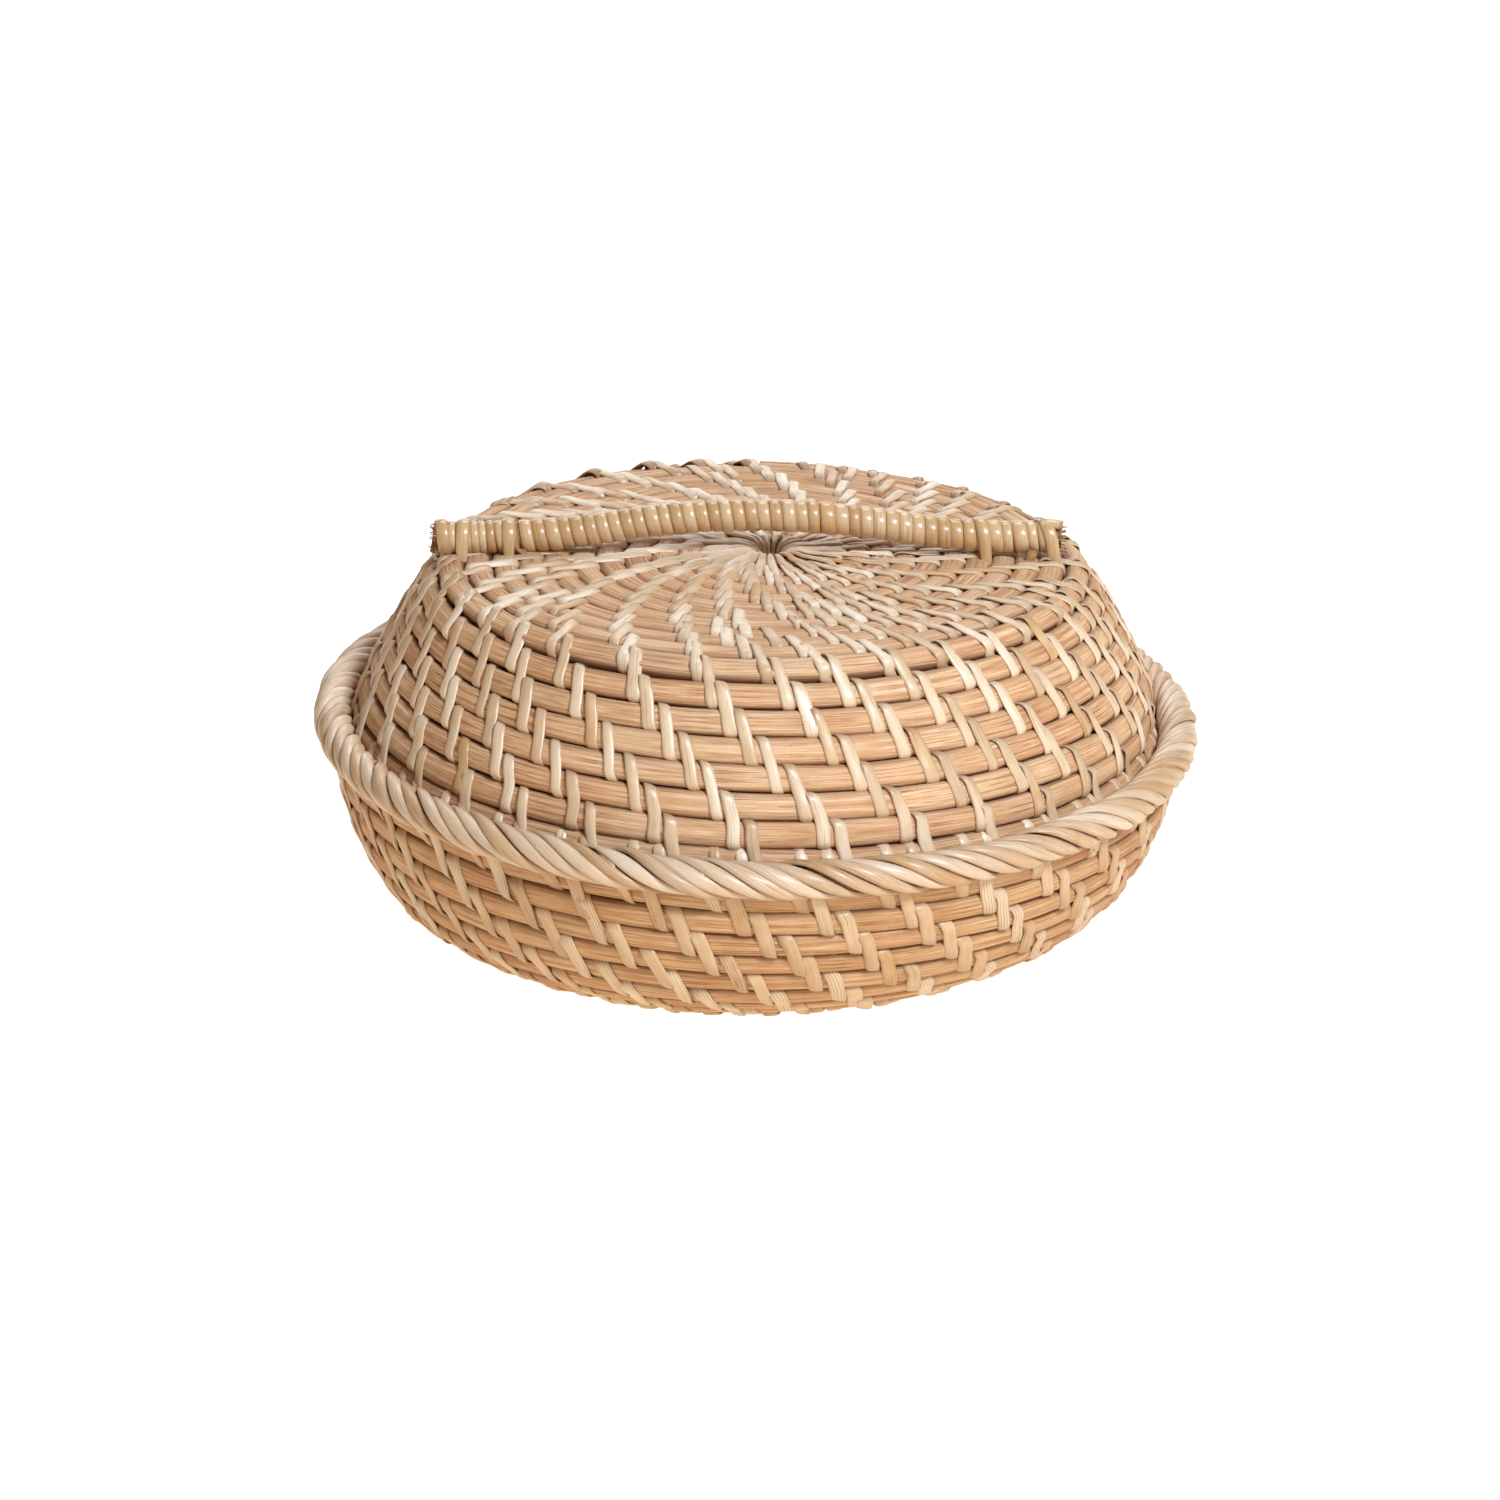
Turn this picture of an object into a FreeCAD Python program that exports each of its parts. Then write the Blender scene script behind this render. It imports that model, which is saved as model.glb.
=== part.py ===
import FreeCAD, Part
import math
import os

# Lidded coiled basket: a bowl-shaped base with a thick wrapped rim, and a
# domed lid with a flat top that drops inside the rim and rests on the highest
# wall coil.  A low bow handle is lashed across the middle of the lid.
#
# Frame: millimetres, +Z up.  The origin is the centre of the flat underside,
# so the basket stands on Z = 0.  +X runs along the handle.

V = FreeCAD.Vector
os.makedirs("parts", exist_ok=True)

# ---------------------------------------------------------------- dimensions
core_r = 3.7            # radius of the round rattan core that is coiled
cane_t = 0.73           # thickness of the flat cane strip of the stitching
fit_gap = 0.02          # clearance between a core and the cane around it
skin_in = core_r + fit_gap          # the stitching layer, measured from the
skin_out = skin_in + cane_t         # coil's centre line

# Base: coil centres (radius, height), from the edge of the floor to the rim.
base_pitch = 7.9
base_coils = [
    (91.60, 4.45), (99.40, 5.35), (106.65, 8.42), (112.90, 13.22),
    (118.05, 19.20), (122.30, 25.85), (125.75, 32.95), (128.40, 40.40),
    (130.20, 48.15), (131.20, 56.10),
]
base_floor_half_turns = 18

# Rim: a core a little thicker than the coils, wrapped with cane strips.
rim_r, rim_z = 135.0, 63.0
rim_core_r = 4.1
rim_wrap_in = 4.15
rim_wrap_out = 5.3
rim_wrap_open_deg = 35.0            # half of the slot that faces the wall coil

# Lid: coil centres (radius, height), from the flat top out and down to the edge.
lid_pitch = 8.0
lid_coils = [
    (82.72, 112.25), (90.70, 112.10), (98.60, 110.95), (103.97, 105.02),
    (108.21, 98.24), (112.33, 91.38), (116.33, 84.45), (119.96, 77.32),
    (122.70, 69.80), (124.50, 62.00),
]
lid_top_half_turns = 16
lid_top_z = lid_coils[0][1]

# Rosettes: long radial stitches over the first three turns of each coil.
rosette_hole_r = 6.1                # mouth of the hole
rosette_neck_r = 3.8                # where all the strips crowd together
rosette_r = 29.0
skin_start_r = 29.3

# Handle: straight ends, and a bow made of three tangent arcs.
handle_core_r = 3.85
handle_wrap_t = 0.72
handle_end_z = lid_top_z + skin_out + handle_core_r + fit_gap + handle_wrap_t + 0.03
bow_half = 85.0                     # half length of the bow
bow_rise = 7.2                      # its height above the straight ends
bow_top_radius = 265.0
handle_x0, handle_x1 = -101.0, 97.0
wraps = {                           # the three wrapped stretches, along X
    "handle_wrap_left": (-99.0, -75.6),
    "handle_wrap_bow": (-74.4, 70.6),
    "handle_wrap_right": (71.6, 95.2),
}
# Lashings: cane loops over the handle and down through the lid.
lashings = [(-91.0, 105.9), (-78.6, 106.9), (74.6, 106.9), (91.5, 105.9)]
lashing_w = 4.0
lashing_t = 0.7


# ------------------------------------------------------------------- helpers
def write(name, shape):
    if isinstance(shape, list):
        shape = Part.makeCompound(shape)
    solids = shape.Solids
    if not solids or not shape.isValid():
        raise SystemExit("bad shape: " + name)
    if len(solids) == 1:
        shape = solids[0]
    shape.exportStep("parts/" + name + ".step")
    b = shape.BoundBox
    print("%-30s solids %3d  vol %10.1f  z %7.2f..%7.2f  x %7.2f..%7.2f" % (
        name, len(solids), sum(s.Volume for s in solids),
        b.ZMin, b.ZMax, b.XMin, b.XMax))


def revolve(points):
    """Solid of revolution about Z from a closed outline of (radius, height)."""
    pts = [V(r, 0, z) for r, z in points]
    face = Part.Face(Part.makePolygon(pts + [pts[0]]))
    s = face.revolve(V(0, 0, 0), V(0, 0, 1), 360)
    if s.ShapeType != "Solid":
        s = s.Solids[0]
    if s.Volume < 0:
        s.reverse()
    return s


def ring(r, z, rad):
    return Part.makeTorus(r, rad, V(0, 0, z))


def flat_spiral(r_start, pitch, half_turns, z, rad):
    """One flat coil of round core: tangent half circles whose centres lie a
    quarter of a pitch each side of the axis."""
    edges = []
    R = r_start + pitch / 4.0
    for k in range(half_turns):
        cx = -pitch / 4.0 if k % 2 == 0 else pitch / 4.0
        sgn = 1 if k % 2 == 0 else -1
        a = V(cx + sgn * R, 0, z)
        m = V(cx, sgn * R, z)
        b = V(cx - sgn * R, 0, z)
        edges.append(Part.Arc(a, m, b).toShape())
        R += pitch / 2.0
    path = Part.Wire(edges)
    start = edges[0].valueAt(edges[0].FirstParameter)
    sect = Part.Wire(Part.makeCircle(rad, start, V(0, 1, 0)))
    s = path.makePipeShell([sect], True, False)
    s = s.Solids[0] if s.ShapeType != "Solid" else s
    length = sum(e.Length for e in edges)
    ratio = s.Volume / (math.pi * rad * rad * length)
    if abs(ratio - 1) > 0.01:
        raise SystemExit("spiral volume off: %.4f" % ratio)
    return s


def offset_line(pts, d):
    """Offset an open (radius, height) polyline by d to its left, mitred."""
    out = []
    n = len(pts)
    nrm = []
    for i in range(n - 1):
        dx, dz = pts[i + 1][0] - pts[i][0], pts[i + 1][1] - pts[i][1]
        L = math.hypot(dx, dz)
        nrm.append((-dz / L, dx / L))
    for i in range(n):
        if i == 0:
            nx, nz = nrm[0]
            k = 1.0
        elif i == n - 1:
            nx, nz = nrm[-1]
            k = 1.0
        else:
            nx, nz = nrm[i - 1][0] + nrm[i][0], nrm[i - 1][1] + nrm[i][1]
            L = math.hypot(nx, nz)
            nx, nz = nx / L, nz / L
            k = 1.0 / (nx * nrm[i][0] + nz * nrm[i][1])
        out.append((pts[i][0] + d * k * nx, pts[i][1] + d * k * nz))
    return out


def skin(pts, side, extra=None):
    """Thin revolved layer at one side (+1 left, -1 right) of a centre line."""
    a = offset_line(pts, side * skin_in)
    b = offset_line(pts, side * skin_out)
    if extra:
        ea, eb = extra
        a, b = a + ea, b + eb
    return revolve(a + b[::-1])


def arc_pts(c, rad, a0, a1, n):
    return [(c[0] + rad * math.cos(math.radians(a0 + (a1 - a0) * i / n)),
             c[1] + rad * math.sin(math.radians(a0 + (a1 - a0) * i / n)))
            for i in range(n + 1)]


def c_section(c, r_in, r_out, a0, a1, n=24):
    return revolve(arc_pts(c, r_in, a0, a1, n) + arc_pts(c, r_out, a1, a0, n))


def mid(a, b, t=0.5):
    return (a[0] + (b[0] - a[0]) * t, a[1] + (b[1] - a[1]) * t)


def rosette(z):
    """Cane over and under the first turns, joined through the centre hole,
    where the crowded strips narrow it to a neck."""
    r0, r1, t, rn = rosette_hole_r, rosette_r, cane_t, rosette_neck_r
    zt, zb = z + skin_out, z - skin_out
    return revolve([(r0, zb), (r1, zb), (r1, zb + t), (r0 + t, zb + t),
                    (r0 + t, zt - t), (r1, zt - t), (r1, zt), (r0, zt),
                    (rn, z + 1.5), (rn, z - 1.5)])


# ---------------------------------------------------------------------- base
write("base_floor_coil", flat_spiral(rosette_hole_r + cane_t + fit_gap + core_r,
                                     base_pitch, base_floor_half_turns,
                                     base_coils[0][1], core_r))
for i, (r, z) in enumerate(base_coils):
    write("base_coil_%02d" % (i + 1), ring(r, z, core_r))

write("base_rosette", rosette(base_coils[0][1]))

floor_end = mid(base_coils[0], base_coils[1], 0.5)
wall_start = mid(base_coils[0], base_coils[1], 0.515)
floor_line = [(skin_start_r, base_coils[0][1]), base_coils[0], floor_end]
# The line runs outwards, so its left side is the inside of the basket.
write("base_stitching_floor_inside", skin(floor_line, +1))
write("base_stitching_floor_under", skin(floor_line, -1))

top = base_coils[-1]
tx, tz = top[0] - base_coils[-2][0], top[1] - base_coils[-2][1]
tl = math.hypot(tx, tz)
tx, tz = tx / tl, tz / tl
n_deg = math.degrees(math.atan2(-tx, tz))      # direction of the outer normal
seat_a = arc_pts(top, skin_in, 180 + n_deg, 115, 8)[1:]
seat_b = arc_pts(top, skin_out, 180 + n_deg, 115, 8)[1:]
# The curved wall's stitching is in two bands, low and high.
low_end = mid(base_coils[4], base_coils[5], 0.5)
high_start = mid(base_coils[4], base_coils[5], 0.515)
low_line = [wall_start] + base_coils[1:5] + [low_end]
high_line = [high_start] + base_coils[5:]
write("base_stitching_wall_low_inside", skin(low_line, +1))
write("base_stitching_wall_low_outside", skin(low_line, -1))
# The inside layer wraps over the top coil, where the lid's edge rests.
write("base_stitching_wall_high_inside", skin(high_line, +1, (seat_a, seat_b)))
high_out = high_line[:-1] + [(top[0] + 1.5 * tx, top[1] + 1.5 * tz)]
write("base_stitching_wall_high_outside", skin(high_out, -1))

write("rim_core", ring(rim_r, rim_z, rim_core_r))
open_dir = math.degrees(math.atan2(top[1] - rim_z, top[0] - rim_r))
write("rim_wrap", c_section((rim_r, rim_z), rim_wrap_in, rim_wrap_out,
                            open_dir + rim_wrap_open_deg,
                            open_dir + 360 - rim_wrap_open_deg, 40))

# -------------------------------------------------------------------- handle
alpha = 2 * math.atan(bow_rise / bow_half)
r_sum = bow_half / math.sin(alpha)
end_radius = r_sum - bow_top_radius
join_x = bow_top_radius * math.sin(alpha)


def handle_z(x):
    x = abs(x)
    if x <= join_x:
        return (handle_end_z + bow_rise - bow_top_radius
                + math.sqrt(bow_top_radius ** 2 - x * x))
    if x <= bow_half:
        d = bow_half - x
        return handle_end_z + end_radius - math.sqrt(end_radius ** 2 - d * d)
    return handle_end_z


def handle_path(x0, x1):
    cuts = [x0] + [c for c in (-bow_half, -join_x, join_x, bow_half)
                   if x0 < c < x1] + [x1]
    edges = []
    for a, b in zip(cuts[:-1], cuts[1:]):
        pa, pb = V(a, 0, handle_z(a)), V(b, 0, handle_z(b))
        m = 0.5 * (a + b)
        if abs(m) > bow_half:
            edges.append(Part.LineSegment(pa, pb).toShape())
        else:
            edges.append(Part.Arc(pa, V(m, 0, handle_z(m)), pb).toShape())
    return edges


def handle_rod(x0, x1, rad):
    edges = handle_path(x0, x1)
    e = edges[0]
    d = e.tangentAt(e.FirstParameter)
    p = V(x0, 0, handle_z(x0))
    if d.x < 0:
        d = d * -1
    sect = Part.Wire(Part.makeCircle(rad, p, d))
    s = Part.Wire(edges).makePipeShell([sect], True, False)
    s = s.Solids[0] if s.ShapeType != "Solid" else s
    length = sum(k.Length for k in edges)
    ratio = s.Volume / (math.pi * rad * rad * length)
    if abs(ratio - 1) > 0.01:
        raise SystemExit("handle volume off: %.4f" % ratio)
    return s


handle_core = handle_rod(handle_x0, handle_x1, handle_core_r)
write("handle_core", handle_core)
wrap_in = handle_core_r + fit_gap
wrap_out = wrap_in + handle_wrap_t
for name, (a, b) in wraps.items():
    write(name, handle_rod(a, b, wrap_out).cut(handle_rod(a - 0.5 if a > handle_x0 + 1 else a,
                                                          b + 0.5, wrap_in)))


def band(x, z_low, grow=0.0):
    """Closed cane loop round the handle and through the lid at X = x."""
    zc = max(handle_z(x - lashing_w / 2), handle_z(x + lashing_w / 2))
    r0 = wrap_out + 0.05 - grow
    r1 = wrap_out + 0.05 + lashing_t + grow
    w = lashing_w + 2 * grow
    x0 = x - w / 2

    def outline(r, zl):
        a, m, b = V(x0, -r, zc), V(x0, 0, zc + r), V(x0, r, zc)
        c, d = V(x0, r, zl), V(x0, -r, zl)
        return Part.Wire([Part.Arc(a, m, b).toShape(),
                          Part.LineSegment(b, c).toShape(),
                          Part.LineSegment(c, d).toShape(),
                          Part.LineSegment(d, a).toShape()])
    outer = Part.Face(outline(r1, z_low - grow)).extrude(V(w, 0, 0))
    inner = Part.Face(outline(r0, z_low + lashing_t + grow)).extrude(V(w, 0, 0))
    return outer.cut(inner)


bands = [band(x, z) for x, z in lashings]
slots = Part.makeCompound([band(x, z, 0.03) for x, z in lashings])
for i, b in enumerate(bands):
    write("handle_lashing_%02d" % (i + 1), b)

# ----------------------------------------------------------------------- lid
# The lashings pass down between the turns of the top; the cores and the two
# stitching layers are relieved where the cane goes through.
write("lid_top_coil", flat_spiral(rosette_hole_r + cane_t + fit_gap + core_r,
                                  lid_pitch, lid_top_half_turns, lid_top_z,
                                  core_r).cut(slots))
for i, (r, z) in enumerate(lid_coils):
    s = ring(r, z, core_r)
    if i < 4:
        s = s.cut(slots)
    write("lid_coil_%02d" % (i + 1), s)

write("lid_rosette", rosette(lid_top_z))

top_end = mid(lid_coils[1], lid_coils[2], 0.5)
side_start = mid(lid_coils[1], lid_coils[2], 0.515)
# The line runs outwards and down, so its left side is the outside of the lid.
top_line = [(skin_start_r, lid_top_z)] + lid_coils[:2] + [top_end]
write("lid_stitching_top_outside", skin(top_line, +1).cut(slots))
write("lid_stitching_top_inside", skin(top_line, -1).cut(slots))
side_line = [side_start] + lid_coils[2:]
write("lid_stitching_side_outside", skin(side_line, +1).cut(slots))
write("lid_stitching_side_inside", skin(side_line, -1).cut(slots))

edge, prev = lid_coils[-1], lid_coils[-2]
e_deg = math.degrees(math.atan2(-(edge[0] - prev[0]) * -1, -(edge[1] - prev[1])))
write("lid_edge_binding", c_section(edge, skin_in, skin_out,
                                    e_deg - 2.5, e_deg - 177.5, 24))
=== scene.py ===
import math
import bpy
import numpy as np
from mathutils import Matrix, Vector


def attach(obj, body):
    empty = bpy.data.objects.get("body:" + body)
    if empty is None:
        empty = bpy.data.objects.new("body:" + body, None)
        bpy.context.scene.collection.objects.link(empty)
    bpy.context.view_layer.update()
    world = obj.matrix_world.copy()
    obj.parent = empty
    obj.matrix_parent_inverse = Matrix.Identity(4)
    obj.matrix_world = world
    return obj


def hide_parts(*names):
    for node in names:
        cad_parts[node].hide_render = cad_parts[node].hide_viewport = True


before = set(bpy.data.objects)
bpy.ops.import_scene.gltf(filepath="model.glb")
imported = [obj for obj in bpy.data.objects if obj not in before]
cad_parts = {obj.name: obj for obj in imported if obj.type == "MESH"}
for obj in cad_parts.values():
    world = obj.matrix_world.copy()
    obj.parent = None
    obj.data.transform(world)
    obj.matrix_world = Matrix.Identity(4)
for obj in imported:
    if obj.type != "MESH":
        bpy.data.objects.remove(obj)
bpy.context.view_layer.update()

rng = np.random.default_rng(20260)
TAU = 2 * math.pi

# Everything below is worked out in millimetres and scaled to metres at the end.
CORE_R = 3.62          # round core of the coils, across the wall
CORE_H = 4.05          # the same core along the wall, where it lies against the next turn
STRIP_W = 3.92         # flat cane strip of the stitching
STRIP_T = 0.74

# ------------------------------------------------------------------ profiles
BASE_ROWS = [(91.60, 4.45), (99.40, 5.35), (106.65, 8.42), (112.90, 13.22),
             (118.05, 19.20), (122.30, 25.85), (125.75, 32.95), (128.40, 40.40),
             (130.20, 48.15), (131.20, 56.10)]
LID_ROWS = [(82.72, 112.25), (90.70, 112.10), (98.60, 110.95), (103.97, 105.02),
            (108.21, 98.24), (112.33, 91.38), (116.33, 84.45), (119.96, 77.32),
            (122.70, 69.80), (124.50, 62.00)]
RIM = (135.0, 63.0)


class Coil:
    """One coiled basket half: row coordinate p (1..10 up or down the side, below
    1 across the flat), turn coordinate u = Phi / 2 pi, and psi, the angle
    counted the way the coil grows, zero at the front."""

    def __init__(self, rows, pitch, ext, out_left, front, sign, n_in):
        self.pitch, self.front, self.sign = pitch, front, sign
        self.out_left = out_left
        pts = []
        self.p0 = -n_in
        for k in range(-n_in, 1):
            pts.append((rows[0][0] - pitch * (1 - k), rows[0][1]))
        pts += rows + ext
        P = np.array(pts, float)
        q = np.arange(self.p0 + 1, self.p0 + len(P) - 2, 0.01)
        i = np.floor(q - self.p0).astype(int)
        f = (q - self.p0 - i)[:, None]
        a, b, c, d = P[i - 1], P[i], P[i + 1], P[i + 2]
        self.q = q
        self.C = 0.5 * (2 * b + (c - a) * f + (2 * a - 5 * b + 4 * c - d) * f * f
                        + (3 * b - a - 3 * c + d) * f ** 3)
        T = np.gradient(self.C, axis=0)
        self.T = T / np.linalg.norm(T, axis=1)[:, None]
        self.ph = rng.uniform(0, TAU, (2, 6))

    def centre(self, p, psi):
        r = np.interp(p, self.q, self.C[:, 0])
        z = np.interp(p, self.q, self.C[:, 1])
        # hand-made waviness, slow along the coil and nearly shared by neighbours
        a, b = self.ph
        k = np.clip((r - 20) / 60, 0, 1)
        r = r + k * 0.16 * (np.sin(3 * psi + 0.9 * p + a[0]) + np.sin(7 * psi + 2.3 * p + a[1])
                            + 0.7 * np.sin(12 * psi - 1.7 * p + a[2]))
        z = z + k * 0.13 * (np.sin(4 * psi + 1.1 * p + b[0]) + np.sin(9 * psi - 2.1 * p + b[1]))
        return r, z

    def n_top(self, psi):
        """Rows between the flat and the rim side at angle psi."""
        w = (psi + math.pi) % TAU - math.pi
        d = np.degrees(w)
        n = 10 + d / 360.0
        s = np.where(d > 150, (d - 150) / 60.0, np.where(d < -150, (d + 210) / 60.0, 0.0))
        s = s * s * (3 - 2 * s)
        nt = 10.4167 + (9.5833 - 10.4167) * s
        return np.where(np.abs(d) > 150, nt, n)

    def row(self, phi):
        """Row coordinate of the core at total angle phi."""
        u = phi / TAU
        p = np.where(u > 0, u * 10.0 / self.n_top(phi), u)
        return np.where(u > 10.4167, 10 + 0.5 * smooth(10.4167, 10.5833, u), p)

    def core_r(self, phi):
        u = phi / TAU
        k = 1 - 0.86 * smooth(10.43, 10.58, u)
        return CORE_R * k

    def theta(self, psi):
        return self.sign * (psi + self.front)

    def place(self, r, z, psi):
        th = self.theta(psi)
        return np.stack([r * np.cos(th), r * np.sin(th), z + 0 * th], -1)

    def vec(self, vr, vz, psi):
        th = self.theta(psi)
        return np.stack([vr * np.cos(th), vr * np.sin(th), vz + 0 * th], -1)


SQ = 0.58              # the round core is squeezed a little square by its neighbours


def squeeze(c):
    return np.sign(c) * np.abs(c) ** SQ


def smooth(a, b, x):
    t = np.clip((x - a) / (b - a), 0, 1)
    return t * t * (3 - 2 * t)


base = Coil(BASE_ROWS, 7.9, [(131.9, 64.0), (132.3, 72.0)], False, math.radians(90), -1, 12)
lid = Coil(LID_ROWS, 8.0, [(124.9, 54.1), (125.0, 46.0)], True, math.radians(270), +1, 11)

TILT = 0.028


def warp_base(P):
    r = np.hypot(P[:, 0], P[:, 1])
    f = 0.5 * (1 - P[:, 1] / np.maximum(r, 1e-6))
    w = smooth(8, 58, P[:, 2])
    Q = P.copy()
    Q[:, 2] -= w * (TILT * P[:, 0] + 0.9) + 2.2 * smooth(5, 20, P[:, 2]) * f ** 3
    # the lowest turns sag a little at both ends
    s = (P[:, 0] / np.maximum(r, 1e-6)) ** 2
    Q[:, 2] -= 1.1 * smooth(5, 13, P[:, 2]) * (1 - smooth(22, 42, P[:, 2])) * s
    Q[:, 0] += 2.2 * smooth(35, 60, P[:, 2]) * (1 - f) ** 2
    return Q


def warp_lid(P):
    r = np.hypot(P[:, 0], P[:, 1])
    f = 0.5 * (1 - P[:, 1] / np.maximum(r, 1e-6))
    w = 1 - smooth(66, 110, P[:, 2])
    lift = (0.2 + 0.6 * smooth(60, 108, P[:, 2])) * f ** 3 * smooth(25, 95, r)
    off = 1 - smooth(8, 76, r)
    Q = P.copy()
    Q[:, 0] += 4.8 * off + 1.7 * smooth(66, 76, P[:, 2]) * (1 - off)
    Q[:, 1] += 2.6 * off
    Q[:, 2] += lift - w * (TILT * P[:, 0] + 0.5) - (1 - w) * 0.032 * P[:, 0] * (1 - f) ** 2
    return Q


# ------------------------------------------------------------- mesh building
class Acc:
    """Collects vertices, faces and per-vertex values for one piece."""

    def __init__(self):
        self.v, self.f, self.uv, self.a = [], [], [], []
        self.n = 0

    def add(self, v, f, uv, a):
        self.v.append(v)
        self.f += [[i + self.n for i in q] for q in f]
        self.uv.append(uv)
        self.a.append(a)
        self.n += len(v)

    def grid(self, V, UV, A, close=True, caps=True):
        """V is (M, K, S, 3): M strands of K sections with S points each."""
        M, K, S = V.shape[:3]
        idx = np.arange(M * K * S).reshape(M, K, S)
        nxt = np.roll(idx, -1, axis=2)
        a, b = idx[:, :-1], idx[:, 1:]
        c, d = nxt[:, 1:], nxt[:, :-1]
        q = np.stack([a, d, c, b], -1)
        if not close:
            q = q[:, :, :-1]
        faces = q.reshape(-1, 4).tolist()
        if caps and close:
            for m in range(M):
                faces.append(idx[m, 0].tolist())
                faces.append(idx[m, -1][::-1].tolist())
        self.add(V.reshape(-1, 3), faces, UV.reshape(-1, 2), A.reshape(-1, 4))

    def build(self, name, warp, mat, body, nodes, smooth_shade=True, slot=None):
        V = np.concatenate(self.v)
        if warp is not None:
            V = warp(V)
        me = bpy.data.meshes.new(name)
        me.from_pydata((V * 0.001).tolist(), [], self.f)
        me.update()
        UV = np.concatenate(self.uv)
        A = np.concatenate(self.a)
        vi = np.zeros(len(me.loops), np.int32)
        me.loops.foreach_get("vertex_index", vi)
        lay = me.uv_layers.new(name="strand")
        lay.data.foreach_set("uv", UV[vi].astype(np.float32).ravel())
        at = me.attributes.new("tone", "FLOAT_COLOR", "POINT")
        at.data.foreach_set("color", A.astype(np.float32).ravel())
        me.polygons.foreach_set("use_smooth", [smooth_shade] * len(me.polygons))
        ob = bpy.data.objects.new(name, me)
        bpy.context.scene.collection.objects.link(ob)
        me.materials.append(mat)
        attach(ob, body)
        if nodes:
            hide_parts(*nodes)
        return ob


SECT = np.array([(-1.0, 0.0), (-0.96, 0.52), (-0.60, 0.90), (0.0, 1.0),
                 (0.60, 0.90), (0.96, 0.52), (1.0, 0.0)])


ROUND = np.array([(-1.0, 0.0), (-0.97, 0.36), (-0.66, 0.80), (0.0, 1.0),
                  (0.66, 0.80), (0.97, 0.36), (1.0, 0.0)])


def ribbon(acc, P, N, width, thick, tone, lift=0.02, roll=None, sect=SECT, painted_shade=None, edge=0.7):
    """Flat cane strips. P, N are (M, K, 3): the under side's middle line and
    the outward normal there. width, thick: (M, K) or numbers."""
    M, K = P.shape[:2]
    T = np.gradient(P, axis=1)
    T /= np.linalg.norm(T, axis=2, keepdims=True) + 1e-12
    N = N - (N * T).sum(2, keepdims=True) * T
    N /= np.linalg.norm(N, axis=2, keepdims=True) + 1e-12
    B = np.cross(T, N)
    if roll is not None:
        c, s = np.cos(roll)[..., None], np.sin(roll)[..., None]
        B, N = B * c + N * s, N * c - B * s
    width = np.broadcast_to(width, (M, K))
    thick = np.broadcast_to(thick, (M, K))
    x = sect[:, 0][None, None] * width[..., None] * 0.5
    y = sect[:, 1][None, None] * thick[..., None] + lift
    V = P[:, :, None] + B[:, :, None] * x[..., None] + N[:, :, None] * y[..., None]
    L = np.concatenate([np.zeros((M, 1)), np.cumsum(np.linalg.norm(np.diff(P, axis=1), axis=2), 1)], 1)
    S = len(sect)
    UV = np.zeros((M, K, S, 2))
    UV[..., 0] = L[..., None] + tone[:, 0][:, None, None] * 700
    UV[..., 1] = x
    A = np.zeros((M, K, S, 4))
    A[..., 0] = tone[:, 0][:, None, None]
    A[..., 1] = tone[:, 1][:, None, None]
    # painted shade: darker where the edge lies against what is under it, on top of the painted shade passed in
    e = edge * np.clip((np.abs(sect[:, 0]) - 0.9) * 4, 0, 1) * (1 - 0.75 * sect[:, 1])
    A[..., 2] = np.clip(e + (0 if painted_shade is None else np.broadcast_to(painted_shade, (M, K))[..., None]), 0, 1.5)
    A[..., 3] = 1
    acc.grid(V, UV, A)


def tones(m):
    return rng.uniform(0, 1, (m, 2))


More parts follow.
